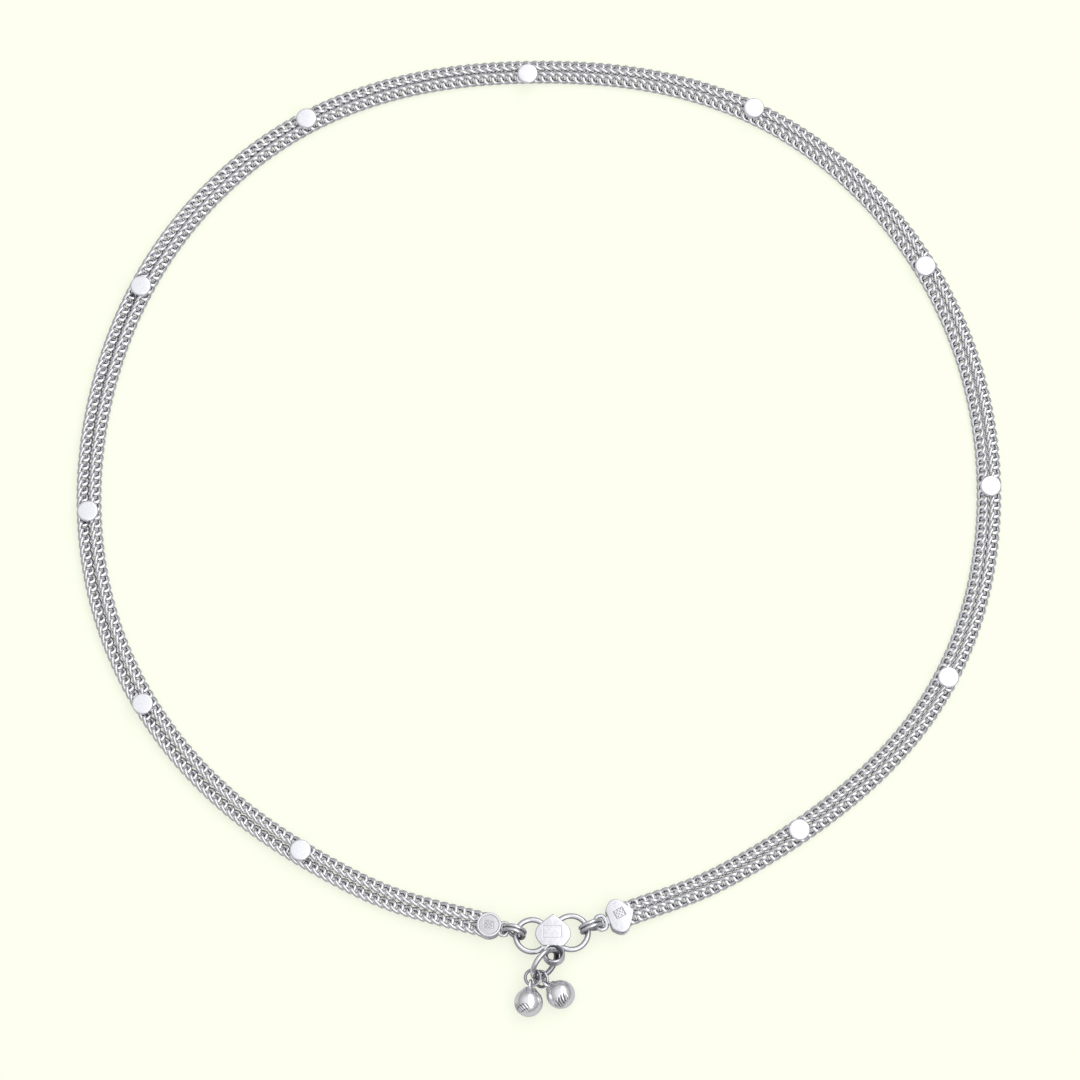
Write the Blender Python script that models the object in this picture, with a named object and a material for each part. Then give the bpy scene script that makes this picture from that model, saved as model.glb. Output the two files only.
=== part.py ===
"""A baby's silver waist chain, lying closed on a flat surface.

Two curb chains lie side by side and carry eleven round discs. A folded cap holds
the chains at each end. A two-turn ring joins each cap to the clasp, and two small
bells hang from the eye of the clasp. The surface is z = 0, the clasp is at -Y,
and the origin is the middle of the whole outline on that surface.
"""

import math

import bmesh
import bpy
import numpy as np
from mathutils import Matrix, Vector

MM = 0.001

# The two chains: each is a tube of the chain's own thickness here
STRAND_DIAMETER = 1.7 * MM
STRAND_GAP = 0.3 * MM
STRAND_POINTS = 80
TUBE_RESOLUTION = 2

# Clearances between pieces that rest on each other or interlock
SEAT_GAP = 0.3 * MM
LINK_CLEARANCE = 0.12 * MM

# Round discs over both chains
DISC_DIAMETER = 3.4 * MM
DISC_THICKNESS = 0.8 * MM
DISC_EDGE = 0.2 * MM
DISC_SIDES = 24

# Where each disc sits, as a share of the chain from the right cap to the left cap, and how far
# outwards of the band's middle, as a share of the way to the middle of a strand
DISC_PLACES = (
    {"name": "disc_01", "share": 0.0684, "outward": 0.0},
    {"name": "disc_02", "share": 0.1491, "outward": 0.35},
    {"name": "disc_03", "share": 0.2256, "outward": 0.12},
    {"name": "disc_04", "share": 0.3163, "outward": -0.25},
    {"name": "disc_05", "share": 0.4086, "outward": 0.2},
    {"name": "disc_06", "share": 0.4977, "outward": -0.9},
    {"name": "disc_07", "share": 0.5858, "outward": 0.1},
    {"name": "disc_08", "share": 0.6784, "outward": 0.0},
    {"name": "disc_09", "share": 0.7702, "outward": 0.12},
    {"name": "disc_10", "share": 0.8480, "outward": 0.45},
    {"name": "disc_11", "share": 0.9297, "outward": -0.15},
)

# The route of the band's middle line on the surface, from the right cap round to the left
ROUTE_MM = (
    (25.1, -57.2), (33.1, -53.1), (47.8, -43.1), (60.9, -29.6), (69.4, -12.6),
    (72.7, 6.7), (70.9, 26.6), (64.0, 45.2), (52.3, 61.2), (36.7, 73.0),
    (18.7, 79.3), (0.0, 80.9), (-18.7, 79.2), (-36.7, 73.0), (-52.4, 61.3),
    (-64.1, 45.3), (-71.0, 26.6), (-73.0, 6.7), (-69.8, -12.7), (-61.2, -30.2),
    (-48.5, -44.1), (-33.6, -54.1), (-23.9, -58.8),
)

# How far behind the origin the drawing of the route has its zero
ROUTE_MIDDLE = (0.14 * MM, -2.37 * MM)

# The caps are folded from plate and hold both chains between their two leaves
CAP_PLATE = 0.4 * MM
CAP_SLOT_CLEARANCE = 0.15 * MM
CAP_EDGE = 0.12 * MM
ROUND_CAP_DIAMETER = 3.9 * MM
ROUND_CAP_WALL = 1.5 * MM
ROUND_CAP_RIM = 0.35 * MM
ROUND_CAP_RECESS = 0.12 * MM
SPADE_CAP_LENGTH = 4.2 * MM
SPADE_CAP_WIDTH = 5.4 * MM
SPADE_CAP_WALL = 1.25 * MM
SPADE_CAP_NECK = 0.5 * MM
CAP_MOUTH_RUN = 0.8 * MM

# The eye of each cap: an oval loop round the far side of the double ring
LEFT_EYE_WIRE = 0.55 * MM
RIGHT_EYE_WIRE = 0.7 * MM
EYE_SIDE_ROOM = 0.2 * MM

# The double rings: two turns of one wire, standing on the surface
DOUBLE_RING_DIAMETER = 4.0 * MM
DOUBLE_RING_WIRE = 0.62 * MM
DOUBLE_RING_TURN_GAP = 0.05 * MM
DOUBLE_RING_JOG = math.radians(38)
LEFT_RING_HEADING = math.radians(165.0)
RIGHT_RING_HEADING = math.radians(20.5)
LEFT_RING_LEAN = math.radians(11)
RIGHT_RING_LEAN = math.radians(2)

# The clasp: a spade plate with a wire ring soldered behind each side and an eye below
CLASP_PLACE = (2.05 * MM, -65.0 * MM)
CLASP_PLATE_LENGTH = 5.1 * MM
CLASP_PLATE_WIDTH = 5.55 * MM
CLASP_PLATE_THICKNESS = 0.6 * MM
CLASP_PLATE_EDGE = 0.14 * MM
CLASP_TIP_AHEAD = 3.36 * MM
CLASP_RING_WIRE = 0.88 * MM
LEFT_CLASP_RING_DIAMETER = 6.0 * MM
RIGHT_CLASP_RING_DIAMETER = 6.25 * MM
LEFT_CLASP_RING_PLACE = (-3.31 * MM, 0.0 * MM)
RIGHT_CLASP_RING_PLACE = (2.84 * MM, 0.49 * MM)
LEFT_CLASP_RING_ENDS = (math.radians(28), math.radians(311))
LEFT_HOOK_ANGLE = math.radians(169.5)
RIGHT_HOOK_ANGLE = math.radians(15.9)
LEFT_HOOK_SHARE = 0.24
RIGHT_HOOK_SHARE = 0.44
SOLDER_DEPTH = 0.1 * MM
CLASP_EYE_PLACE = (0.15 * MM, -3.12 * MM)
CLASP_EYE_DIAMETER = 3.45 * MM
CLASP_EYE_WALL = 0.75 * MM
CLASP_EYE_HEIGHT = 1.5 * MM
CLASP_EYE_TILT = math.radians(20)

# Outline of a spade from its tip to its neck, as shares of its length and half its width
SPADE_PROFILE = (
    {"along": 0.00, "half_width": 0.00},
    {"along": 0.08, "half_width": 0.22},
    {"along": 0.21, "half_width": 0.52},
    {"along": 0.38, "half_width": 0.86},
    {"along": 0.56, "half_width": 1.00},
    {"along": 0.72, "half_width": 0.98},
    {"along": 0.88, "half_width": 0.80},
    {"along": 1.00, "half_width": 0.58},
)
SPADE_STEPS = 3

# Jump rings of the drops: place from the clasp's middle, size, heading and slope
DROP_RINGS = (
    {"name": "drop_ring", "place": (-1.31 * MM, -4.76 * MM), "height": 2.83 * MM,
     "diameter": 6.0 * MM, "wire": 0.86 * MM, "heading": 48.89, "slope": 67.14},
    {"name": "bell_ring_left", "place": (-3.18 * MM, -6.86 * MM), "height": 2.57 * MM,
     "diameter": 2.9 * MM, "wire": 0.5 * MM, "heading": 127.27, "slope": -7.0},
    {"name": "bell_ring_right", "place": (-1.89 * MM, -6.91 * MM), "height": 1.54 * MM,
     "diameter": 3.0 * MM, "wire": 0.5 * MM, "heading": -60.93, "slope": 41.76},
)

# The bells: place from the clasp's middle, and the way that each one's eye points
BELL_DIAMETER = 4.5 * MM
BELL_EYE_DIAMETER = 1.89 * MM
BELL_EYE_WIRE = 0.45 * MM
BELL_EYE_REACH = 2.78 * MM
BELLS = (
    {"name": "bell_left", "place": (-3.84 * MM, -10.77 * MM), "heading": 84.18, "pitch": 3.5,
     "roll": -8.51},
    {"name": "bell_right", "place": (1.20 * MM, -9.49 * MM), "heading": 139.66, "pitch": -6.18,
     "roll": -32.4},
)

RING_STEPS = 24
SMALL_RING_STEPS = 18
WIRE_RESOLUTION = 1
SOLDER_OVERLAP = 0.05 * MM

# Values that follow from the sizes above
STRAND_HEIGHT = STRAND_DIAMETER / 2
CAP_SLOT = STRAND_DIAMETER + 2 * CAP_SLOT_CLEARANCE
CAP_HEIGHT = CAP_SLOT + 2 * CAP_PLATE
CAP_MIDDLE = CAP_HEIGHT / 2
STRAND_SIDE = (STRAND_DIAMETER + STRAND_GAP) / 2
DOUBLE_RING_INSIDE = DOUBLE_RING_DIAMETER / 2 - DOUBLE_RING_WIRE
TURN_PITCH = DOUBLE_RING_WIRE + DOUBLE_RING_TURN_GAP
COIL_HALF_WIDTH = (TURN_PITCH + DOUBLE_RING_WIRE) / 2


def flat(place):
    """Return a point on the drawing as a 2-D vector."""
    return Vector((place[0], place[1]))


def heading_vector(angle):
    """Return the unit vector on the surface that points along an angle."""
    return Vector((math.cos(angle), math.sin(angle)))


def material(name, colour, roughness):
    """Return a polished metal with a colour and roughness of its own."""
    metal = bpy.data.materials.new(name)
    metal.use_nodes = True
    shader = metal.node_tree.nodes["Principled BSDF"]
    shader.inputs["Base Color"].default_value = (*colour, 1.0)
    shader.inputs["Roughness"].default_value = roughness
    shader.inputs["Metallic"].default_value = 1.0
    return metal


def new_object(name, data, metal):
    """Link a new object that holds the data and wears the metal."""
    obj = bpy.data.objects.new(name, data)
    bpy.context.scene.collection.objects.link(obj)
    if not data.materials:
        data.materials.append(metal)
    return obj


def finish_mesh(mesh, angle=35):
    """Shade a mesh smooth, with its edges sharp where faces meet at an angle."""
    mesh.shade_smooth()
    mesh.set_sharp_from_angle(angle=math.radians(angle))


def mesh_from(build):
    """Return the mesh that a bmesh holds, with its faces pointing out."""
    bmesh.ops.recalc_face_normals(build, faces=build.faces)
    mesh = bpy.data.meshes.new("shape")
    build.to_mesh(mesh)
    build.free()
    return mesh


def evaluated_mesh(obj):
    """Return a copy of the object's mesh with its modifiers applied."""
    graph = bpy.context.evaluated_depsgraph_get()
    graph.update()
    return bpy.data.meshes.new_from_object(obj.evaluated_get(graph))


def combine(target, other, operation):
    """Join or cut the target with the other object, which goes away."""
    change = target.modifiers.new(operation.lower(), "BOOLEAN")
    change.operation = operation
    change.solver = "EXACT"
    change.object = other
    result = evaluated_mesh(target)
    target.modifiers.clear()
    old = target.data
    target.data = result
    bpy.data.meshes.remove(old)
    bpy.data.objects.remove(other, do_unlink=True)


def curve_tube(name, points, radius, resolution, metal, closed=False):
    """Return a curve object with a round section along the points."""
    curve = bpy.data.curves.new(name, "CURVE")
    curve.dimensions = "3D"
    curve.bevel_depth = radius
    curve.bevel_resolution = resolution
    curve.use_fill_caps = not closed
    line = curve.splines.new("POLY")
    line.points.add(len(points) - 1)
    for point, place in zip(line.points, points):
        point.co = (*place, 1.0)
    line.use_cyclic_u = closed
    line.use_smooth = True
    return new_object(name, curve, metal)


def wire(name, points, radius, metal, closed=False):
    """Return a mesh object of wire along the points."""
    guide = curve_tube(name + "_guide", points, radius, WIRE_RESOLUTION, metal, closed)
    mesh = evaluated_mesh(guide)
    bpy.data.objects.remove(guide, do_unlink=True)
    finish_mesh(mesh, 65)
    return new_object(name, mesh, metal)


def circle_points(radius, steps, start=0.0, end=math.tau, whole=True):
    """Return points round a circle on the plane, the last left out if it is whole."""
    count = steps if whole else steps + 1
    angles = [start + (end - start) * step / steps for step in range(count)]
    return [Vector((radius * math.cos(a), radius * math.sin(a), 0.0)) for a in angles]


def oval_points(half_length, half_width, steps):
    """Return points round a rounded oval whose sides are fuller than an ellipse's."""
    points = []
    for step in range(steps):
        angle = math.tau * step / steps
        c, s = math.cos(angle), math.sin(angle)
        reach = (abs(c) ** 2.6 + abs(s) ** 2.6) ** (-1 / 2.6)
        points.append(Vector((half_length * reach * c, half_width * reach * s, 0.0)))
    return points


def plate(name, outline, low, high, edge, metal):
    """Return a flat plate of an outline, with its upper and lower edges eased."""
    build = bmesh.new()
    base = build.faces.new([build.verts.new((p.x, p.y, low)) for p in outline])
    raised = bmesh.ops.extrude_face_region(build, geom=[base])["geom"]
    top = [v for v in raised if isinstance(v, bmesh.types.BMVert)]
    bmesh.ops.translate(build, verts=top, vec=(0.0, 0.0, high - low))
    rims = [e for e in build.edges if e.verts[0].co.z == e.verts[1].co.z]
    bmesh.ops.bevel(build, geom=rims, offset=edge, segments=1, affect="EDGES")
    obj = new_object(name, mesh_from(build), metal)
    finish_mesh(obj.data, 30)
    return obj


def block(name, low, high, metal):
    """Return a plain box between two corners."""
    build = bmesh.new()
    bmesh.ops.create_cube(build, size=1.0)
    for vert in build.verts:
        for axis in range(3):
            vert.co[axis] = high[axis] if vert.co[axis] > 0 else low[axis]
    return new_object(name, mesh_from(build), metal)


def drum(name, diameter, low, high, sides, metal):
    """Return a plain upright cylinder."""
    build = bmesh.new()
    bmesh.ops.create_cone(build, cap_ends=True, segments=sides, radius1=diameter / 2,
                          radius2=diameter / 2, depth=high - low)
    bmesh.ops.translate(build, verts=build.verts, vec=(0.0, 0.0, (low + high) / 2))
    return new_object(name, mesh_from(build), metal)


def spade_outline(length, width):
    """Return the outline of a spade, its tip at the end of +X and its neck at zero."""
    rows = [(row["along"], row["half_width"]) for row in SPADE_PROFILE]
    side = []
    for index in range(len(rows) - 1):
        before = rows[max(index - 1, 0)]
        start, end = rows[index], rows[index + 1]
        after = rows[min(index + 2, len(rows) - 1)]
        for step in range(SPADE_STEPS):
            t = step / SPADE_STEPS
            side.append(tuple(hermite(before[k], start[k], end[k], after[k], t) for k in (0, 1)))
    side.append(rows[-1])
    upper = [Vector((length * (1 - a), width / 2 * w)) for a, w in side]
    lower = [Vector((p.x, -p.y)) for p in reversed(upper[1:])]
    return upper + lower


def hermite(before, start, end, after, t):
    """Return the value between start and end on a smooth line through all four."""
    slope_start = (end - before) / 2
    slope_end = (after - start) / 2
    t2, t3 = t * t, t * t * t
    value = (2 * t3 - 3 * t2 + 1) * start + (t3 - 2 * t2 + t) * slope_start
    return value + (3 * t2 - 2 * t3) * end + (t3 - t2) * slope_end


def spline_through(points, count):
    """Return evenly spaced points on the smoothest curve through the points."""
    knots = np.array(points, dtype=float)
    spans = np.linalg.norm(np.diff(knots, axis=0), axis=1)
    place = np.concatenate([[0.0], np.cumsum(spans)])
    size = len(knots)
    matrix = np.zeros((size, size))
    right = np.zeros_like(knots)
    matrix[0, 0] = 1.0
    matrix[-1, -1] = 1.0
    for k in range(1, size - 1):
        matrix[k, k - 1] = spans[k - 1]
        matrix[k, k] = 2 * (spans[k - 1] + spans[k])
        matrix[k, k + 1] = spans[k]
        rise = (knots[k + 1] - knots[k]) / spans[k] - (knots[k] - knots[k - 1]) / spans[k - 1]
        right[k] = 6 * rise
    bend = np.linalg.solve(matrix, right)
    fine = np.linspace(0.0, place[-1], 4000)
    k = np.clip(np.searchsorted(place, fine, side="right") - 1, 0, size - 2)
    h = spans[k][:, None]
    a = (place[k + 1] - fine)[:, None] / h
    b = 1 - a
    curve = a * knots[k] + b * knots[k + 1]
    curve += ((a ** 3 - a) * bend[k] + (b ** 3 - b) * bend[k + 1]) * h * h / 6
    walked = np.concatenate([[0.0], np.cumsum(np.linalg.norm(np.diff(curve, axis=0), axis=1))])
    even = np.linspace(0.0, walked[-1], count)
    return np.stack([np.interp(even, walked, curve[:, axis]) for axis in range(3)], axis=1)


def double_ring_places():
    """Return the middle of each double ring, hooked on its ring of the clasp."""
    places = {}
    sides = (
        ("left", LEFT_CLASP_RING_PLACE, LEFT_CLASP_RING_DIAMETER, LEFT_HOOK_ANGLE, LEFT_HOOK_SHARE,
         LEFT_RING_LEAN),
        ("right", RIGHT_CLASP_RING_PLACE, RIGHT_CLASP_RING_DIAMETER, RIGHT_HOOK_ANGLE,
         RIGHT_HOOK_SHARE, RIGHT_RING_LEAN),
    )
    for side, ring_place, diameter, angle, share, lean in sides:
        hooked = (diameter - CLASP_RING_WIRE) / 2 + share * DOUBLE_RING_INSIDE
        at = flat(CLASP_PLACE) + flat(ring_place) + hooked * heading_vector(angle)
        height = DOUBLE_RING_DIAMETER / 2 * math.cos(lean)
        height += (COIL_HALF_WIDTH - DOUBLE_RING_WIRE / 2) * math.sin(lean)
        places[side] = Vector((at.x, at.y, height))
    return places


def clasp_height(places):
    """Return the height of the clasp's rings, which rest inside the double rings."""
    heights = []
    room = DOUBLE_RING_INSIDE - CLASP_RING_WIRE / 2 - LINK_CLEARANCE
    for side, share in (("left", LEFT_HOOK_SHARE), ("right", RIGHT_HOOK_SHARE)):
        across = share * DOUBLE_RING_INSIDE
        heights.append(places[side].z - math.sqrt(room ** 2 - across ** 2))
    return max(heights)


def double_ring(name, place, heading, lean, metal):
    """Make a two-turn ring that stands on the surface, with its step underneath."""
    middle = DOUBLE_RING_DIAMETER / 2 - DOUBLE_RING_WIRE / 2
    start = DOUBLE_RING_JOG
    end = 2 * math.tau - DOUBLE_RING_JOG
    steps = 2 * RING_STEPS
    points = []
    for step in range(steps + 1):
        angle = start + (end - start) * step / steps
        share = (angle - (math.tau - DOUBLE_RING_JOG)) / (2 * DOUBLE_RING_JOG)
        share = min(max(share, 0.0), 1.0)
        side = TURN_PITCH * (share * share * (3 - 2 * share) - 0.5)
        turned = angle - math.pi / 2
        points.append(Vector((middle * math.cos(turned), middle * math.sin(turned), side)))
    obj = wire(name, points, DOUBLE_RING_WIRE / 2, metal)
    stand = Matrix.Rotation(heading, 4, "Z") @ Matrix.Rotation(math.pi / 2 - lean, 4, "X")
    obj.matrix_world = Matrix.Translation(place) @ stand
    return obj


def cap_eye(name, wire_size, height, metal):
    """Return the oval loop of a cap, drawn from the middle of its double ring."""
    inner = DOUBLE_RING_DIAMETER / 2 - DOUBLE_RING_WIRE - LINK_CLEARANCE
    outer = DOUBLE_RING_DIAMETER / 2 + LINK_CLEARANCE
    half_length = (outer - inner + wire_size) / 2
    half_width = COIL_HALF_WIDTH + EYE_SIDE_ROOM + wire_size / 2
    points = oval_points(half_length, half_width, SMALL_RING_STEPS)
    middle = Vector(((inner + outer) / 2, 0.0, height))
    return wire(name, [p + middle for p in points], wire_size / 2, metal, closed=True)


def cap_slot(name, start, metal):
    """Return the cutter that leaves room for both chains between a cap's leaves."""
    reach = SPADE_CAP_WIDTH + SPADE_CAP_LENGTH
    low = (start, -reach, CAP_PLATE)
    high = (start + reach, reach, CAP_PLATE + CAP_SLOT)
    return block(name, low, high, metal)


def round_cap(place, metal):
    """Make the round cap over the left ends, with a raised rim and its eye."""
    edge = DOUBLE_RING_DIAMETER / 2 + LINK_CLEARANCE
    radius = ROUND_CAP_DIAMETER / 2
    outline = [p.xy + Vector((edge + radius, 0.0)) for p in circle_points(radius, 28)]
    cap = plate("end_cap_left", outline, 0.0, CAP_HEIGHT, CAP_EDGE, metal)
    field = drum("field", ROUND_CAP_DIAMETER - 2 * (CAP_EDGE + ROUND_CAP_RIM),
                 CAP_HEIGHT - ROUND_CAP_RECESS, CAP_HEIGHT + CAP_PLATE, 28, metal)
    field.location.x = edge + radius
    combine(cap, field, "DIFFERENCE")
    combine(cap, cap_slot("slot", edge + ROUND_CAP_WALL, metal), "DIFFERENCE")
    combine(cap, cap_eye("eye", LEFT_EYE_WIRE, place.z, metal), "UNION")
    return cap


def spade_cap(place, metal):
    """Make the spade shaped cap over the right ends, with its neck and its eye."""
    root = DOUBLE_RING_DIAMETER / 2 + LINK_CLEARANCE + RIGHT_EYE_WIRE / 2
    start = root + SPADE_CAP_NECK
    shift = Vector((start, 0.0))
    outline = [p + shift for p in spade_outline(SPADE_CAP_LENGTH, SPADE_CAP_WIDTH)]
    cap = plate("end_cap_right", outline, 0.0, CAP_HEIGHT, CAP_EDGE, metal)
    combine(cap, cap_slot("slot", start + SPADE_CAP_WALL, metal), "DIFFERENCE")
    half = COIL_HALF_WIDTH
    neck = block("neck", (root, -half, place.z - RIGHT_EYE_WIRE * 0.4),
                 (start + SPADE_CAP_WALL / 2, half, place.z + RIGHT_EYE_WIRE * 0.4), metal)
    combine(cap, neck, "UNION")
    combine(cap, cap_eye("eye", RIGHT_EYE_WIRE, place.z, metal), "UNION")
    return cap


def clasp(height, metal):
    """Make the clasp as one soldered solid: plate, two wire rings and the eye."""
    low = height + CLASP_RING_WIRE / 2 - SOLDER_DEPTH
    neck_y = CLASP_TIP_AHEAD - CLASP_PLATE_LENGTH
    drawn = spade_outline(CLASP_PLATE_LENGTH, CLASP_PLATE_WIDTH)
    outline = [Vector((-p.y, neck_y + p.x)) for p in drawn]
    body = plate("clasp", outline, low, low + CLASP_PLATE_THICKNESS, CLASP_PLATE_EDGE, metal)
    start, end = LEFT_CLASP_RING_ENDS
    middle = (LEFT_CLASP_RING_DIAMETER - CLASP_RING_WIRE) / 2
    left = circle_points(middle, RING_STEPS, start, end, whole=False)
    at = Vector((*LEFT_CLASP_RING_PLACE, height))
    combine(body, wire("left_ring", [p + at for p in left], CLASP_RING_WIRE / 2, metal), "UNION")
    middle = (RIGHT_CLASP_RING_DIAMETER - CLASP_RING_WIRE) / 2
    at = Vector((*RIGHT_CLASP_RING_PLACE, height))
    right = [p + at for p in circle_points(middle, RING_STEPS)]
    combine(body, wire("right_ring", right, CLASP_RING_WIRE / 2, metal, closed=True), "UNION")
    combine(body, clasp_eye(low + CLASP_PLATE_THICKNESS / 2, metal), "UNION")
    return body


def clasp_eye(height, metal):
    """Return the short tube under the plate, tilted so that its near side is raised."""
    half = CLASP_EYE_HEIGHT / 2
    tube = drum("eye", CLASP_EYE_DIAMETER, -half, half, RING_STEPS, metal)
    bore = drum("bore", CLASP_EYE_DIAMETER - 2 * CLASP_EYE_WALL, -2 * half, 2 * half,
                RING_STEPS, metal)
    combine(tube, bore, "DIFFERENCE")
    tube.rotation_euler.x = -CLASP_EYE_TILT
    tube.location = (*CLASP_EYE_PLACE, height)
    return tube


def ring(row, metal):
    """Make one jump ring of the drops from its row."""
    middle = (row["diameter"] - row["wire"]) / 2
    large = row["diameter"] > BELL_DIAMETER
    points = circle_points(middle, RING_STEPS if large else SMALL_RING_STEPS)
    obj = wire(row["name"], points, row["wire"] / 2, metal, closed=True)
    turn = Matrix.Rotation(math.radians(row["heading"]), 4, "Z")
    turn = turn @ Matrix.Rotation(math.radians(row["slope"]), 4, "X")
    at = flat(CLASP_PLACE) + flat(row["place"])
    obj.matrix_world = Matrix.Translation((at.x, at.y, row["height"])) @ turn
    return obj


def bell(row, metal):
    """Make one round bell with its eye, lying on the surface."""
    build = bmesh.new()
    bmesh.ops.create_uvsphere(build, u_segments=20, v_segments=12, radius=BELL_DIAMETER / 2)
    body = new_object(row["name"], mesh_from(build), metal)
    middle = (BELL_EYE_DIAMETER - BELL_EYE_WIRE) / 2
    eye = wire("eye", circle_points(middle, 12), BELL_EYE_WIRE / 2, metal, closed=True)
    upright = Matrix.Rotation(math.pi / 2, 4, "X")
    eye.matrix_world = Matrix.Translation((0.0, 0.0, BELL_EYE_REACH)) @ upright
    combine(body, eye, "UNION")
    finish_mesh(body.data, 40)
    turn = Matrix.Rotation(math.radians(row["heading"]), 4, "Z")
    turn = turn @ Matrix.Rotation(math.radians(90.0 - row["pitch"]), 4, "Y")
    turn = turn @ Matrix.Rotation(math.radians(row["roll"]), 4, "Z")
    at = flat(CLASP_PLACE) + flat(row["place"])
    body.matrix_world = Matrix.Translation((at.x, at.y, BELL_DIAMETER / 2)) @ turn
    return body


def band_route(places):
    """Return the route of the band's middle line, from inside one cap to the other."""
    start_stop = DOUBLE_RING_DIAMETER / 2 + LINK_CLEARANCE
    right_start = start_stop + RIGHT_EYE_WIRE / 2 + SPADE_CAP_NECK
    right_stop = right_start + SPADE_CAP_WALL + SEAT_GAP
    right_mouth = right_start + SPADE_CAP_LENGTH + CAP_MOUTH_RUN
    left_stop = start_stop + ROUND_CAP_WALL + SEAT_GAP
    left_mouth = start_stop + ROUND_CAP_DIAMETER + CAP_MOUTH_RUN
    right = places["right"].xy
    left = places["left"].xy
    ahead_right = heading_vector(RIGHT_RING_HEADING)
    ahead_left = heading_vector(LEFT_RING_HEADING)
    points = [
        (*(right + right_stop * ahead_right), CAP_MIDDLE),
        (*(right + right_mouth * ahead_right), CAP_MIDDLE),
    ]
    points += [(x * MM, y * MM, STRAND_HEIGHT) for x, y in ROUTE_MM]
    points += [
        (*(left + left_mouth * ahead_left), CAP_MIDDLE),
        (*(left + left_stop * ahead_left), CAP_MIDDLE),
    ]
    return points


def offset_line(points, distance):
    """Return a line moved sideways on the surface, outwards where it is positive."""
    steps = np.gradient(points, axis=0)
    across = np.stack([steps[:, 1], -steps[:, 0], np.zeros(len(steps))], axis=1)
    across /= np.linalg.norm(across, axis=1)[:, None]
    return points + distance * across


def strands(route, metal):
    """Make both chains, one on each side of the band's middle line."""
    line = spline_through(route, STRAND_POINTS)
    line[:, 2] = np.maximum(line[:, 2], STRAND_HEIGHT)
    made = []
    for name, distance in (("strand_outer", STRAND_SIDE), ("strand_inner", -STRAND_SIDE)):
        side = offset_line(line, distance)
        points = [tuple(float(value) for value in point) for point in side]
        made.append(curve_tube(name, points, STRAND_DIAMETER / 2, TUBE_RESOLUTION, metal))
    return made


def discs(route, metal):
    """Make the round discs over both chains, at their shares of the visible chain."""
    line = spline_through(route, 2000)
    low = STRAND_DIAMETER + SEAT_GAP
    total = np.linalg.norm(np.diff(line, axis=0), axis=1).sum()
    start = (SPADE_CAP_LENGTH - SPADE_CAP_WALL - SEAT_GAP) / total
    end = 1 - (ROUND_CAP_DIAMETER - ROUND_CAP_WALL - SEAT_GAP) / total
    outline = circle_points(DISC_DIAMETER / 2, DISC_SIDES)
    made = []
    for row in DISC_PLACES:
        share = start + (end - start) * row["share"]
        beside = offset_line(line, row["outward"] * STRAND_SIDE)
        at = beside[int(round(share * (len(line) - 1)))]
        disc = plate(row["name"], outline, low, low + DISC_THICKNESS, DISC_EDGE, metal)
        disc.location = (float(at[0]), float(at[1]), 0.0)
        made.append(disc)
    return made


def main():
    """Build the whole waist chain round one empty at the origin."""
    for obj in list(bpy.data.objects):
        bpy.data.objects.remove(obj, do_unlink=True)
    chain_metal = material("chain_silver", (0.78, 0.78, 0.80), 0.18)
    disc_metal = material("disc_silver", (0.93, 0.93, 0.94), 0.28)
    cap_metal = material("cap_silver", (0.84, 0.84, 0.86), 0.30)
    wire_metal = material("wire_silver", (0.80, 0.80, 0.82), 0.12)
    plate_metal = material("plate_silver", (0.90, 0.90, 0.92), 0.25)
    bell_metal = material("bell_silver", (0.82, 0.82, 0.85), 0.10)

    places = double_ring_places()
    height = clasp_height(places)
    route = band_route(places)
    pieces = strands(route, chain_metal)
    pieces += discs(route, disc_metal)

    left_turn = Matrix.Rotation(LEFT_RING_HEADING, 4, "Z")
    right_turn = Matrix.Rotation(RIGHT_RING_HEADING, 4, "Z")
    left_cap = round_cap(places["left"], cap_metal)
    left_cap.matrix_world = Matrix.Translation((*places["left"].xy, 0.0)) @ left_turn
    right_cap = spade_cap(places["right"], cap_metal)
    right_cap.matrix_world = Matrix.Translation((*places["right"].xy, 0.0)) @ right_turn
    pieces += [left_cap, right_cap]
    pieces.append(double_ring("double_ring_left", places["left"], LEFT_RING_HEADING + math.pi,
                              LEFT_RING_LEAN, wire_metal))
    pieces.append(double_ring("double_ring_right", places["right"], RIGHT_RING_HEADING,
                              RIGHT_RING_LEAN, wire_metal))

    body = clasp(height, plate_metal)
    finish_mesh(body.data, 35)
    body.location = (*CLASP_PLACE, 0.0)
    pieces.append(body)
    pieces += [ring(row, wire_metal) for row in DROP_RINGS]
    pieces += [bell(row, bell_metal) for row in BELLS]

    frame = bpy.data.objects.new("waist_chain", None)
    bpy.context.scene.collection.objects.link(frame)
    frame.location = (*ROUTE_MIDDLE, 0.0)
    for piece in pieces:
        piece.parent = frame


main()
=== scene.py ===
"""Looks for a baby's silver waist chain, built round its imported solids.

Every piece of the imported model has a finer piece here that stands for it: linked curb
chains, turned discs, folded caps, wire rings, the soldered clasp and the two bells. All
lengths are in millimetres in the classes and in metres in Blender.
"""

import logging
import math
from collections.abc import Sequence
from dataclasses import dataclass, field
from enum import Enum

import bmesh
import bpy
import numpy as np
from mathutils import Matrix, Vector

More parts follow.
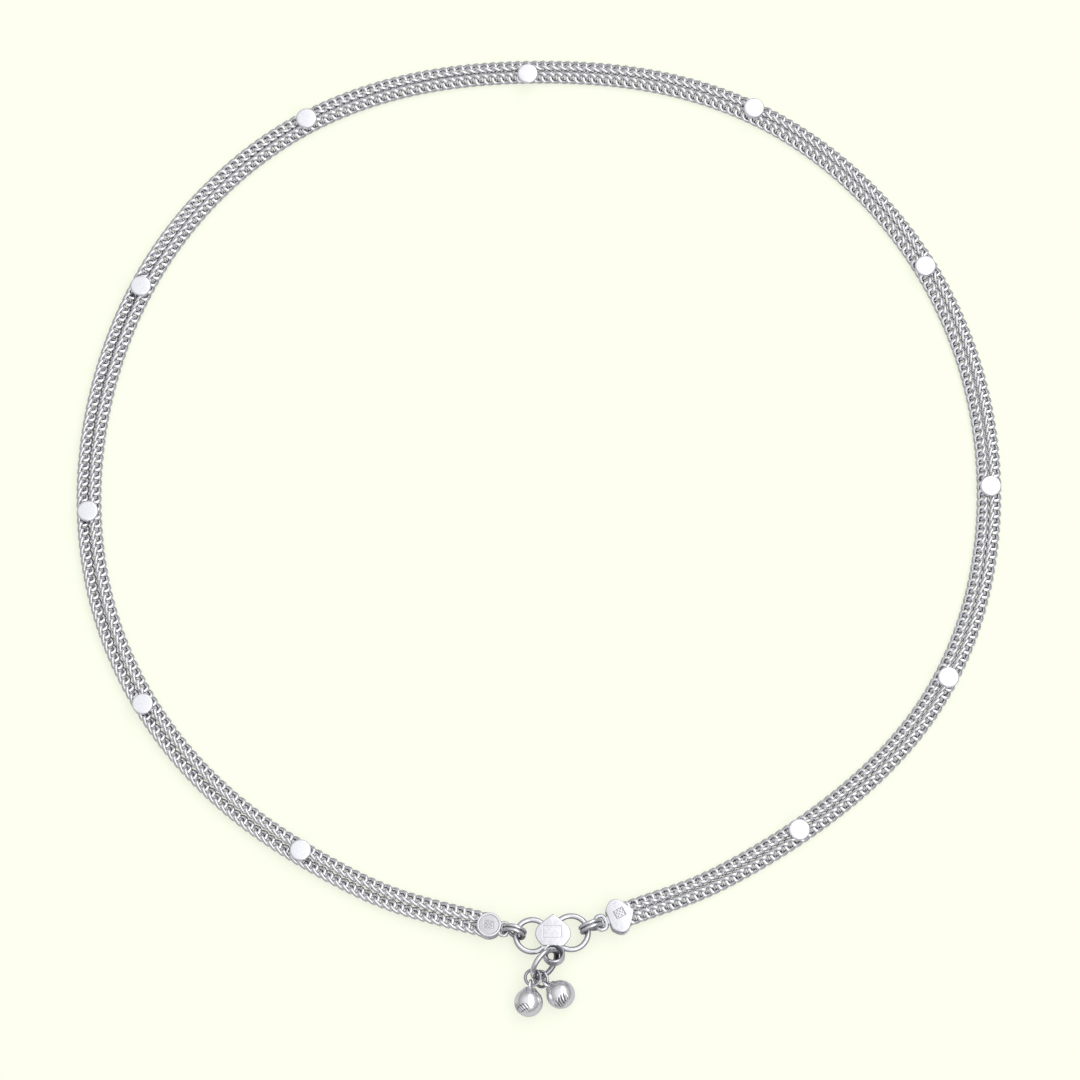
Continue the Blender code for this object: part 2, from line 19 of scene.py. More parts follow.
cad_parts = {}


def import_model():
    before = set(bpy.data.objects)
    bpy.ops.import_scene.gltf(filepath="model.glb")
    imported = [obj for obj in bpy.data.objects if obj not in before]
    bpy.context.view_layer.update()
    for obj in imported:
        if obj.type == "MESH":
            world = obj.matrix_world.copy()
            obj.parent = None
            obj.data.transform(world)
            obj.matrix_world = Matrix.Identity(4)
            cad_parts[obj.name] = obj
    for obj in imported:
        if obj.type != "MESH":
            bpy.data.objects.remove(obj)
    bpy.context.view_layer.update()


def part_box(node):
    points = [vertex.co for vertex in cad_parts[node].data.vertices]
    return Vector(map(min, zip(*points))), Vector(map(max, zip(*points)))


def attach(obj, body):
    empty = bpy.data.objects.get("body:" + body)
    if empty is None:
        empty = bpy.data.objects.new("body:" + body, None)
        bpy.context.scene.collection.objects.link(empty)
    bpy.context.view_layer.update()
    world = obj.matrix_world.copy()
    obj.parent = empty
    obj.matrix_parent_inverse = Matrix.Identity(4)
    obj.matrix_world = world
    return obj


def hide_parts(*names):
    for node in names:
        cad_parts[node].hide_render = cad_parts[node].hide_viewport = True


MM = 0.001
LOG = logging.getLogger("waist_chain")
ROOT = "root"

Array = np.ndarray
Socket = bpy.types.NodeSocket
Pair = tuple[float, float]
Place = tuple[float, float, float]
Colour = tuple[float, float, float]
Faces = list[list[int]]
Shape = tuple[Array, Faces]


class Stamp(Enum):
    """The plain mark pressed into a plate."""

    NONE = 0
    FRAME = 1
    LATTICE = 2


class NodeSheet:
    """The nodes of one material or of the sky."""

    def __init__(self, tree: bpy.types.NodeTree) -> None:
        """Start from an empty tree.

        Args:
            tree: The node tree of the material or of the world.
        """
        self.tree = tree
        tree.nodes.clear()

    def add(self, kind: str, inputs: dict[str | int, object] | None = None,
            **settings: object) -> bpy.types.Node:
        """Add a node.

        Args:
            kind: Blender's name of the node type.
            inputs: What goes into its inputs: plain values or sockets.
            settings: Properties of the node, by name.

        Returns:
            The new node.
        """
        node = self.tree.nodes.new(kind)
        for key, value in settings.items():
            setattr(node, key, value)
        for key, value in (inputs or {}).items():
            if isinstance(value, Socket):
                self.tree.links.new(value, node.inputs[key])
            else:
                node.inputs[key].default_value = value
        return node

    def sums(self, operation: str, *terms: object) -> Socket:
        """Work out one value from others, which are sockets or plain numbers."""
        node = self.add("ShaderNodeMath", dict(enumerate(terms)), operation=operation)
        return node.outputs[0]

    def spread(self, value: Socket, target: Pair, source: Pair = (0.0, 1.0)) -> Socket:
        """Stretch a value from one range to another.

        Args:
            value: The socket to stretch.
            target: Results at the ends of the source.
            source: Range of the value.

        Returns:
            The socket with the result.
        """
        node = self.add("ShaderNodeMapRange", {
            "Value": value, "From Min": source[0], "From Max": source[1],
            "To Min": target[0], "To Max": target[1]})
        return node.outputs["Result"]

    def noise(self, place: Socket, scale: float, detail: float) -> Socket:
        """Return a noise between 0 and 1, its scale in patches to a unit of the place."""
        inputs = {"Vector": place, "Scale": scale, "Detail": detail}
        return self.add("ShaderNodeTexNoise", inputs).outputs["Fac"]

    def blend(self, share: Socket, first: Colour, second: Colour) -> Socket:
        """Mix two colours: the first where the share is 0, the second where it is 1."""
        inputs = {"Factor": share, "A": (*first, 1.0), "B": (*second, 1.0)}
        return self.add("ShaderNodeMix", inputs, data_type="RGBA").outputs["Result"]


# How much the broad patches lessen and deepen the painted shade.
PATCH_SHARE = (0.75, 1.15)
# Usual range of the broad and the fine noise multiplied.
SMEAR_RANGE = (0.12, 0.38)
# Millimetres: half the width of a mark's lines, and how deep they are.
MARK_LINE = 0.09
MARK_DEPTH = 0.05
# The lattice's waves in a millimetre, in radians, their level at its knots, and its margin.
LATTICE_WAVES = 11.0
LATTICE_LEVEL = 0.25
LATTICE_MARGIN = 0.12
# A face bears the mark if its normal's height is above this.
UPWARD = 0.6


@dataclass(frozen=True)
class SilverFinish:
    """One finish of silver. Its grain and its waves each have a scale and a depth."""

    name: str
    slot: str
    colour: Colour
    shadow: Colour
    roughness: Pair
    grain: Pair
    wave: Pair
    stamp: Stamp = Stamp.NONE
    stamp_place: Pair = (0.0, 0.0)
    stamp_half: Pair = (0.6, 0.5)
    stamp_turn: float = 0.0
    stamp_strength: float = 1.0

    def material(self) -> bpy.types.Material:
        """Build the material, or find it if it is there already.

        Returns:
            The material, with its colour, its painted shade from the recess attribute,
            roughness and relief from nodes.
        """
        found = bpy.data.materials.get(self.name)
        if found:
            return found
        made = bpy.data.materials.new(self.name)
        made.use_nodes = True
        sheet = NodeSheet(made.node_tree)
        place = self.place(sheet)
        cloud = sheet.noise(place, self.wave[0], detail=3.0)
        grain = sheet.noise(place, self.grain[0], detail=4.0)
        mark = self.pressed(sheet, place)
        # Painted shade: the recess attribute mixes the shadow colour into the base colour.
        depth = sheet.add("ShaderNodeAttribute", attribute_name="recess").outputs["Fac"]
        height = sheet.sums("MULTIPLY", grain, self.grain[1])
        height = sheet.sums("ADD", height, sheet.sums("MULTIPLY", cloud, self.wave[1]))
        if mark is not None:
            depth = sheet.sums("ADD", depth, mark)
            relief = sheet.sums("MULTIPLY", mark, MARK_DEPTH)
            height = sheet.sums("SUBTRACT", height, relief)
        darker = sheet.sums("MULTIPLY", sheet.spread(cloud, PATCH_SHARE), depth)
        darker = sheet.sums("MINIMUM", darker, 1.0)
        smear = sheet.sums("MULTIPLY", cloud, grain)
        bump = sheet.add("ShaderNodeBump",
                         {"Strength": 1.0, "Distance": MM, "Height": height})
        shader = sheet.add("ShaderNodeBsdfPrincipled", {
            "Metallic": 1.0,
            "Base Color": sheet.blend(darker, self.colour, self.shadow),
            "Roughness": sheet.spread(smear, self.roughness, SMEAR_RANGE),
            "Normal": bump.outputs[0]})
        sheet.add("ShaderNodeOutputMaterial", {"Surface": shader.outputs[0]})
        return made

    def place(self, sheet: NodeSheet) -> Socket:
        """Return the socket with the coordinates on the piece, in millimetres."""
        inputs = {"Vector": sheet.add("ShaderNodeTexCoord").outputs["Object"],
                  "Scale": (1.0 / MM,) * 3}
        return sheet.add("ShaderNodeMapping", inputs).outputs[0]

    def pressed(self, sheet: NodeSheet, place: Socket) -> Socket | None:
        """Draw the plain mark that is pressed into the plate's upper side.

        Args:
            sheet: The material's nodes.
            place: The coordinates, in millimetres.

        Returns:
            The socket that is 1 in the mark's lines, or None without a mark.
        """
        if self.stamp is Stamp.NONE:
            return None
        turned_place = sheet.add("ShaderNodeMapping", {
            "Vector": place, "Location": (*self.stamp_place, 0.0),
            "Rotation": (0.0, 0.0, math.radians(self.stamp_turn))}, vector_type="TEXTURE")
        split = sheet.add("ShaderNodeSeparateXYZ", {0: turned_place.outputs[0]})
        beyond = [
            sheet.sums("SUBTRACT", sheet.sums("ABSOLUTE", split.outputs[axis]), half)
            for axis, half in zip("XY", self.stamp_half)]
        edge = sheet.sums("MAXIMUM", *beyond)
        line = sheet.sums("DIVIDE", sheet.sums("ABSOLUTE", edge), MARK_LINE)
        line = sheet.sums("MAXIMUM", sheet.sums("SUBTRACT", 1.0, line), 0.0)
        if self.stamp is Stamp.LATTICE:
            turns = [sheet.sums("MULTIPLY", split.outputs[axis], LATTICE_WAVES)
                     for axis in "XY"]
            knots = sheet.sums("MULTIPLY", *(sheet.sums("SINE", turn) for turn in turns))
            knots = sheet.sums("GREATER_THAN", knots, LATTICE_LEVEL)
            inside = sheet.sums("LESS_THAN", edge, -LATTICE_MARGIN)
            line = sheet.sums("MAXIMUM", line, sheet.sums("MULTIPLY", knots, inside))
        normal = sheet.add("ShaderNodeNewGeometry").outputs["True Normal"]
        facing = sheet.add("ShaderNodeSeparateXYZ", {0: normal})
        upper = sheet.sums("GREATER_THAN", facing.outputs["Z"], UPWARD)
        line = sheet.sums("MULTIPLY", line, upper)
        return sheet.sums("MULTIPLY", line, self.stamp_strength)


CHAIN_SILVER = SilverFinish(
    "chain_silver_polished", "chain_silver", (0.94, 0.94, 0.96), shadow=(0.50, 0.50, 0.53),
    roughness=(0.12, 0.26), grain=(9.0, 0.004), wave=(0.5, 0.0))
DISC_SILVER = SilverFinish(
    "disc_silver_satin", "disc_silver", (0.90, 0.90, 0.95), shadow=(0.55, 0.55, 0.58),
    roughness=(0.24, 0.40), grain=(14.0, 0.003), wave=(1.2, 0.010))
ROUND_CAP_SILVER = SilverFinish(
    "round_cap_silver", "cap_silver", (0.76, 0.76, 0.79), shadow=(0.42, 0.42, 0.45),
    roughness=(0.22, 0.42), grain=(8.0, 0.008), wave=(1.6, 0.016),
    stamp=Stamp.LATTICE, stamp_place=(4.1, 0.0), stamp_half=(0.72, 0.58),
    stamp_turn=8.0, stamp_strength=0.6)
SPADE_CAP_SILVER = SilverFinish(
    "spade_cap_silver", "cap_silver", (0.76, 0.76, 0.80), shadow=(0.34, 0.34, 0.38),
    roughness=(0.18, 0.34), grain=(9.0, 0.006), wave=(1.4, 0.014),
    stamp=Stamp.LATTICE, stamp_place=(4.9, 0.35), stamp_half=(0.78, 0.68),
    stamp_turn=8.0, stamp_strength=0.95)
WIRE_SILVER = SilverFinish(
    "wire_silver_polished", "wire_silver", (0.84, 0.84, 0.87), shadow=(0.22, 0.22, 0.25),
    roughness=(0.10, 0.20), grain=(7.0, 0.003), wave=(0.7, 0.0))
PLATE_SILVER = SilverFinish(
    "plate_silver_satin", "plate_silver", (0.79, 0.79, 0.83), shadow=(0.36, 0.36, 0.40),
    roughness=(0.18, 0.34), grain=(10.0, 0.005), wave=(1.3, 0.022),
    stamp=Stamp.FRAME, stamp_place=(-0.15, 0.55), stamp_half=(1.45, 0.95),
    stamp_strength=0.6)
BELL_SILVER = SilverFinish(
    "bell_silver_polished", "bell_silver", (0.94, 0.94, 0.96), shadow=(0.10, 0.10, 0.13),
    roughness=(0.18, 0.30), grain=(6.0, 0.004), wave=(1.0, 0.006))


def put(name: str, data: bpy.types.ID) -> bpy.types.Object:
    """Put a new object into the scene.

    Args:
        name: Its name.
        data: Its mesh, camera or lamp.

    Returns:
        The object.
    """
    made = bpy.data.objects.new(name, data)
    bpy.context.scene.collection.objects.link(made)
    return made


def placed(place: Sequence[float], *turns: tuple[float, str]) -> Matrix:
    """Say where a piece lies.

    Args:
        place: Its place in millimetres.
        turns: Its turns in degrees, each with its axis, the outermost first.

    Returns:
        The matrix of the piece.
    """
    turn = Matrix.Identity(4)
    for degrees, axis in turns:
        turn = turn @ Matrix.Rotation(math.radians(degrees), 4, axis)
    return Matrix.Translation(Vector(place) * MM) @ turn


@dataclass
class Draft:
    """The points and faces of one piece, gathered before they become a mesh."""

    points: list[Array] = field(default_factory=list)
    faces: Faces = field(default_factory=list)
    # How much painted shade each point gets, from 0 to 1.
    recess: list[Array] = field(default_factory=list)
    count: int = 0

    def add(self, points: Array, faces: Faces, recess: Array | float = 0.0) -> None:
        """Add a closed shape.

        Args:
            points: Its points in millimetres, one in a row.
            faces: Its faces, as numbers of its own points.
            recess: How much painted shade each point gets, from 0 to 1.
        """
        self.points.append(np.asarray(points, float))
        self.faces += [[int(k) + self.count for k in face] for face in faces]
        self.recess.append(np.broadcast_to(np.asarray(recess, float), (len(points),)))
        self.count += len(points)

    def add_mesh(self, build: bmesh.types.BMesh, recess: float = 0.0) -> None:
        """Add what a bmesh holds, and free it.

        Args:
            build: The shape, in millimetres.
            recess: How much painted shade its points get, from 0 to 1.
        """
        build.verts.index_update()
        points = np.array([tuple(v.co) for v in build.verts])
        faces = [[v.index for v in face.verts] for face in build.faces]
        build.free()
        self.add(points, faces, recess)

    def finish(self, name: str, nodes: Sequence[str], silver: SilverFinish,
               place: Matrix | None = None, sharp: float = 40.0) -> None:
        """Make the piece and hand it to the frame.

        Args:
            name: The piece's name.
            nodes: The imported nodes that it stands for.
            silver: Its finish.
            place: Where it goes, or None if its points are in place already.
            sharp: Angle in degrees beyond which an edge stays sharp.
        """
        mesh = bpy.data.meshes.new(name)
        mesh.from_pydata((np.concatenate(self.points) * MM).tolist(), [], self.faces)
        # Painted shade: stored per point as the recess attribute, which the finish reads.
        shade = mesh.attributes.new("recess", "FLOAT", "POINT")
        shade.data.foreach_set("value", np.concatenate(self.recess).astype(np.float32))
        build = bmesh.new()
        build.from_mesh(mesh)
        bmesh.ops.recalc_face_normals(build, faces=build.faces)
        build.to_mesh(mesh)
        build.free()
        mesh.shade_smooth()
        mesh.set_sharp_from_angle(angle=math.radians(sharp))
        mesh.materials.append(silver.material())
        piece = put(name, mesh)
        if place is not None:
            piece.matrix_world = place
        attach(piece, ROOT)
        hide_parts(*nodes)
        LOG.info("%s: %d faces", name, len(mesh.polygons))


def unit(rows: Array) -> Array:
    """Return each row at a length of one."""
    return rows / np.linalg.norm(rows, axis=1)[:, None]


def tube(path: Array, radius: float, sides: int, closed: bool, first: Array,
         second: Array) -> Shape:
    """Lay a round section at each point of a path and join them into a tube.

    Args:
        path: Points of the middle line.
        radius: Radius of the section.
        sides: Number of sides of the section.
        closed: Whether the last section joins the first, or both ends are capped.
        first: At each point, the direction of the section's start.
        second: At each point, the other direction across the path.

    Returns:
        The points, one in a row, and the faces of the tube.
    """
    count = len(path)
    angle = np.linspace(0.0, math.tau, sides, endpoint=False)
    c, s = np.cos(angle)[None, :, None], np.sin(angle)[None, :, None]
    points = path[:, None] + radius * (c * first[:, None] + s * second[:, None])
    faces = []
    for k in range(count if closed else count - 1):
        here, there = k * sides, (k + 1) % count * sides
        for j in range(sides):
            nxt = (j + 1) % sides
            faces.append([here + j, here + nxt, there + nxt, there + j])
    if not closed:
        faces.append(list(range(sides))[::-1])
        faces.append(list(range((count - 1) * sides, count * sides)))
    return points.reshape(-1, 3), faces


def swept(path: Array, radius: float, sides: int, closed: bool) -> Shape:
    """Sweep a round section along a path, without twist.

    Args:
        path: Points of the middle line.
        radius: Radius of the section.
        sides: Number of sides of the section.
        closed: Whether the path runs back to its start.

    Returns:
        The points and the faces of the wire.
    """
    count = len(path)
    if closed:
        ahead = unit(np.roll(path, -1, axis=0) - np.roll(path, 1, axis=0))
    else:
        ahead = unit(np.gradient(path, axis=0))
    side = np.cross(ahead[0], (0.0, 0.0, 1.0))
    nearly_upright = 0.1
    if np.linalg.norm(side) < nearly_upright:
        side = np.cross(ahead[0], (1.0, 0.0, 0.0))
    sides_out = [side / np.linalg.norm(side)]
    for k in range(1, count):
        moved = sides_out[-1] - ahead[k] * (sides_out[-1] @ ahead[k])
        sides_out.append(moved / np.linalg.norm(moved))
    across = np.array(sides_out)
    if closed:
        back = across[-1] - ahead[0] * (across[-1] @ ahead[0])
        back /= np.linalg.norm(back)
        twist = math.atan2(np.cross(back, across[0]) @ ahead[0], back @ across[0])
        turn = twist * np.arange(count) / count
        other = np.cross(ahead, across)
        across = across * np.cos(turn)[:, None] + other * np.sin(turn)[:, None]
    return tube(path, radius, sides, closed, across, np.cross(ahead, across))


def turned(profile: Sequence[Pair], steps: int) -> Shape:
    """Turn a profile round the Z axis.

    Args:
        profile: Radius and height of each point. A radius of zero closes the shape.
        steps: Number of steps round the axis.

    Returns:
        The points and the faces of the shape.
    """
    points: list[Array] = []
    rows: Faces = []
    count = 0
    for radius, height in profile:
        if radius == 0.0:
            points.append(np.array([[0.0, 0.0, height]]))
            rows.append([count] * steps)
            count += 1
        else:
            points.append(circle(radius, steps) + (0.0, 0.0, height))
            rows.append(list(range(count, count + steps)))
            count += steps
    faces = []
    closed = profile[0][0] > 0.0
    for k in range(len(rows) if closed else len(rows) - 1):
        low, high = rows[k], rows[(k + 1) % len(rows)]
        for j in range(steps):
            nxt = (j + 1) % steps
            corners = [low[j], low[nxt], high[nxt], high[j]]
            faces.append([c for i, c in enumerate(corners) if c not in corners[:i]])
    return np.concatenate(points), faces


def circle(radius: float, steps: int, start: float = 0.0, end: float = math.tau) -> Array:
    """Return points round a circle, with both ends where it is open.

    Args:
        radius: Radius of the circle.
        steps: Number of steps.
        start: First angle.
        end: Last angle.

    Returns:
        One point in a row.
    """
    if math.isclose(end - start, math.tau):
        angle = np.linspace(start, end, steps, endpoint=False)
    else:
        angle = np.linspace(start, end, steps + 1)
    return np.stack([radius * np.cos(angle), radius * np.sin(angle), 0 * angle], axis=1)


def squared_oval(angle: Array, half_length: float, half_width: float,
                 power: float) -> tuple[Array, Array]:
    """Draw an oval that is squarer than an ellipse.

    Args:
        angle: Where its points lie, seen from its middle.
        half_length: Half its length.
        half_width: Half its width.
        power: 2 for an ellipse, more for squarer ends.

    Returns:
        The places of its points along its length and across it.
    """
    c, s = np.cos(angle), np.sin(angle)
    reach = (np.abs(c) ** power + np.abs(s) ** power) ** (-1 / power)
    return half_length * reach * c, half_width * reach * s


def painted_flank_shade(raised: Array, most: float = 0.8, fall: float = 1.5) -> Array:
    """Return the painted shade of points of a wire, from how far they lie towards its lit
    side.
    """
    return most * np.clip(fall * (1.0 - raised), 0.0, 1.0)


def rounded_plate(outline: Array, low: float, high: float,
                  edge: float) -> bmesh.types.BMesh:
    """Build a flat plate with soft edges.

    Args:
        outline: Corners of the plate.
        low: Height of its lower side.
        high: Height of its upper side.
        edge: Width of the softened edges.

    Returns:
        The plate.
    """
    build = bmesh.new()
    base = build.faces.new([build.verts.new((float(x), float(y), low)) for x, y in outline])
    raised = bmesh.ops.extrude_face_region(build, geom=[base])["geom"]
    top = [v for v in raised if isinstance(v, bmesh.types.BMVert)]
    bmesh.ops.translate(build, verts=top, vec=(0.0, 0.0, high - low))
    rims = [e for e in build.edges if abs(e.verts[0].co.z - e.verts[1].co.z) < 1e-9]
    bmesh.ops.bevel(build, geom=rims, offset=edge, segments=4, profile=0.6, affect="EDGES")
    return build


def smooth_step(start: Array, end: Array, leave: Array, arrive: Array, t: float) -> Array:
    """Return the point at t of a line that leaves its start and reaches its end as told."""
    value = (2 * t ** 3 - 3 * t ** 2 + 1) * start + (t ** 3 - 2 * t ** 2 + t) * leave
    return value + (3 * t ** 2 - 2 * t ** 3) * end + (t ** 3 - t ** 2) * arrive


def smooth_rows(rows: Sequence[Pair], steps: int) -> Array:
    """Draw a smooth line through the rows of a table.

    Args:
        rows: Points of the line.
        steps: Steps from each point to the next.

    Returns:
        One point in a row.
    """
    line = np.array(rows)
    last = len(line) - 1
    found = []
    for k in range(last):
        leave = (line[k + 1] - line[max(k - 1, 0)]) / 2
        arrive = (line[min(k + 2, last)] - line[k]) / 2
        for step in range(steps):
            found.append(smooth_step(line[k], line[k + 1], leave, arrive, step / steps))
    return np.array(found + [line[-1]])


# Outline of one side of a spade from its tip to its neck: how far from the tip, as a share
# of its length, and how far from its middle line, as a share of half its width.
SPADE_ROWS = ((0.00, 0.00), (0.08, 0.22), (0.21, 0.52), (0.38, 0.86),
              (0.56, 1.00), (0.72, 0.98), (0.88, 0.80), (1.00, 0.58))


def spade(length: float, width: float, steps: int = 6) -> Array:
    """Return the outline of a spade with its tip at the end of +X and its neck at zero.

    Args:
        length: From the neck to the tip.
        width: Across the widest place.
        steps: Steps between two rows of the table.

    Returns:
        One corner in a row.
    """
    side = smooth_rows(SPADE_ROWS, steps)
    upper = np.stack([length * (1 - side[:, 0]), width / 2 * side[:, 1]], axis=1)
    lower = upper[1:][::-1] * (1.0, -1.0)
    return np.concatenate([upper, lower])


def evenly(curve: Array, count: int) -> Array:
    """Return evenly spaced points along a line.

    Args:
        curve: Points of the line.
        count: Number of points wanted.

    Returns:
        One point in a row.
    """
    steps = np.linalg.norm(np.diff(curve, axis=0), axis=1)
    walked = np.concatenate([[0.0], np.cumsum(steps)])
    even = np.linspace(0.0, walked[-1], count)
    return np.stack([np.interp(even, walked, curve[:, axis]) for axis in range(3)], axis=1)


@dataclass
class BandRoute:
    """The middle line of the two chains, from inside the right cap to inside the left."""

    stations: tuple[Pair, ...] = (
        (12.43, -64.395), (15.662, -63.187), (25.24, -59.57), (33.24, -55.47),
        (47.94, -45.47), (61.04, -31.97), (69.54, -14.97), (72.84, 4.33), (71.04, 24.23),
        (64.14, 42.83), (52.44, 58.83), (36.84, 70.63), (18.84, 76.93), (0.14, 78.53),
        (-18.56, 76.83), (-36.56, 70.63), (-52.26, 58.93), (-63.96, 42.93),
        (-70.86, 24.23), (-72.86, 4.33), (-69.66, -15.07), (-61.06, -32.57),
        (-48.36, -46.47), (-33.46, -56.47), (-23.76, -61.17), (-10.55, -65.078),
        (-7.749, -65.829),
    )
    low: float = 0.85
    cap_height: float = 1.4
    curve_steps: int = 6000
    middle_steps: int = 4000

    def line(self) -> Array:
        """Draw the smoothest curve through the stations.

        Returns:
            Evenly spaced points, one in a row.
        """
        knots = np.array([(*station, self.low) for station in self.stations])
        knots[[0, 1, -2, -1], 2] = self.cap_height
        spans = np.linalg.norm(np.diff(knots, axis=0), axis=1)
        place = np.concatenate([[0.0], np.cumsum(spans)])
        size = len(knots)
        matrix = np.zeros((size, size))
        right = np.zeros_like(knots)
        matrix[0, 0] = 1.0
        matrix[-1, -1] = 1.0
        for k in range(1, size - 1):
            before, after = spans[k - 1], spans[k]
            matrix[k, k - 1:k + 2] = before, 2 * (before + after), after
            rise = (knots[k + 1] - knots[k]) / after - (knots[k] - knots[k - 1]) / before
            right[k] = 6 * rise
        bend = np.linalg.solve(matrix, right)
        # Between two knots, a and b are the shares of the first and of the second.
        fine = np.linspace(0.0, place[-1], self.curve_steps)
        k = np.clip(np.searchsorted(place, fine, side="right") - 1, 0, size - 2)
        span = spans[k][:, None]
        a = (place[k + 1] - fine)[:, None] / span
        b = 1 - a
        curve = a * knots[k] + b * knots[k + 1]
        curve += ((a ** 3 - a) * bend[k] + (b ** 3 - b) * bend[k + 1]) * span * span / 6
        curve[:, 2] = np.maximum(curve[:, 2], self.low)
        return evenly(curve, self.middle_steps)

    def beside(self, distance: float, count: int) -> Array:
        """Return a line that runs beside the middle line.

        Args:
            distance: How far outwards it lies.
            count: Number of points.

        Returns:
            One point in a row, evenly spaced.
        """
        line = self.line()
        steps = np.gradient(line, axis=0)
        across = unit(np.stack([steps[:, 1], -steps[:, 0], np.zeros(len(steps))], axis=1))
        return evenly(line + distance * across, count)


@dataclass
class CurbChain:
    """One curb chain of twisted oval links that pass through each other."""

    name: str
    node: str
    route: BandRoute
    distance: float
    rolls: tuple[Pair, ...]
    link_length: float = 2.65
    link_width: float = 2.2
    wire: float = 0.68
    pitch: float = 1.373
    half_turn: float = 36.0
    squareness: float = 3.6
    flat_share: float = 0.94
    rail_painted_shade: float = 0.6
    path_steps: int = 16
    wire_sides: int = 6
    line_steps: int = 6000
    look_ahead: int = 8
    floor_gap: float = 0.01

    def link(self) -> tuple[Array, Faces, Array]:
        """Shape one link, its length along X and the chain lying flat.

        Returns:
            Its points, its faces, and the painted shade of each point.
        """
        half_length = (self.link_length - self.wire) / 2
        half_width = (self.link_width - self.wire) / 2
        angle = np.linspace(0.0, math.tau, self.path_steps, endpoint=False)
        x, y = squared_oval(angle + math.pi / self.path_steps, half_length, half_width,
                            self.squareness)
        turn = math.radians(self.half_turn) * np.clip(x / half_length, -1, 1)
        middle = np.stack([x, y * np.cos(turn), y * np.sin(turn)], axis=1)
        ahead = unit(np.roll(middle, -1, axis=0) - np.roll(middle, 1, axis=0))
        up = np.stack([0 * x, -np.sin(turn), np.cos(turn)], axis=1)
        up = unit(up - (up * ahead).sum(axis=1)[:, None] * ahead)
        points, faces = tube(middle, self.wire / 2, self.wire_sides, True, up,
                             np.cross(ahead, up))
        centre = np.repeat(middle, self.wire_sides, axis=0)
        inward = -((points - centre) * unit(centre)).sum(axis=1) / (self.wire / 2)
        # Painted shade: the wire is darker on its inner side, and the long sides are darker
        # than the ends, which stand up and catch the light.
        rail = self.rail_painted_shade * np.clip(1.25 - 1.5 * np.abs(x) / half_length, 0.0, 1.0)
        painted_shade = np.maximum(np.clip(inward, 0.0, 1.0), np.repeat(rail, self.wire_sides))
        limit = self.flat_share * points[:, 2].max()
        points[:, 2] = np.clip(points[:, 2], -limit, limit)
        return points, faces, painted_shade

    def build(self) -> None:
        """Lay the links along the route and make them one piece."""
        line = self.route.beside(self.distance, self.line_steps)
        length = float(np.linalg.norm(np.diff(line, axis=0), axis=1).sum())
        count = int(round((length - self.link_length) / self.pitch)) + 1
        margin = self.link_length / 2 / length
        points, faces, painted_shade = self.link()
        places, known = zip(*self.rolls)
        draft = Draft()
        for share in np.linspace(margin, 1.0 - margin, count):
            index = int(share * (len(line) - 1))
            start = line[max(index - self.look_ahead, 0)]
            end = line[min(index + self.look_ahead, len(line) - 1)]
            ahead = Vector(end - start).normalized()
            side = Vector((-ahead.y, ahead.x, 0.0)).normalized()
            lie = np.array(Matrix((ahead, side, ahead.cross(side))).transposed())
            roll = math.radians(float(np.interp(share, places, known)))
            rolled = points @ np.array(Matrix.Rotation(roll, 3, "X")).T
            lift = self.floor_gap - float(rolled[:, 2].min())
            at = line[index] + (0.0, 0.0, lift - self.route.low)
            draft.add(rolled @ lie.T + at, faces, painted_shade)
        LOG.info("%s: %d links", self.name, count)
        draft.finish(self.name, (self.node,), CHAIN_SILVER, sharp=180.0)


@dataclass
class RoundDiscs:
    """The flat round discs over both chains."""

    count: int = 11
    diameter: float = 3.4
    low: float = 2.0
    thickness: float = 0.8
    edge: float = 0.26
    edge_steps: int = 6
    crown: float = 0.03
    steps: int = 64
    turn_step: float = 37.0

    def profile(self) -> list[Pair]:
        """Draw half of a disc's section, soft at its edges and hardly crowned.

        Returns:
            Radius and height of each point.
        """
        radius, high = self.diameter / 2, self.low + self.thickness
        flat = radius - self.edge
        # How far the soft edge lies from the side and from the face, from face to side.
        turns = np.linspace(0.0, math.pi / 2, self.edge_steps + 1)
        soft = [(self.edge * (1 - math.sin(a)), self.edge * (1 - math.cos(a)))
                for a in turns]
        rows = [(0.0, self.low), (flat, self.low)]
        rows += [(radius - aside, self.low + below) for aside, below in soft[1:-1]]
        rows += [(radius - aside, high - self.crown - below) for aside, below in soft[::-1]]
        rows += [(flat * share, high - self.crown * share * share)
                 for share in (0.8, 0.5, 0.25)]
        return rows + [(0.0, high)]

    def build(self) -> None:
        """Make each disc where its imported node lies."""
        for number in range(1, self.count + 1):
            node = f"disc_{number:02d}"
            low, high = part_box(node)
            draft = Draft()
            draft.add(*turned(self.profile(), self.steps))
            at = Matrix.Translation(((low.x + high.x) / 2, (low.y + high.y) / 2, 0.0))
            turn = Matrix.Rotation(math.radians(self.turn_step * number), 4, "Z")
            draft.finish(f"turned_{node}", (node,), DISC_SILVER, at @ turn, 60.0)


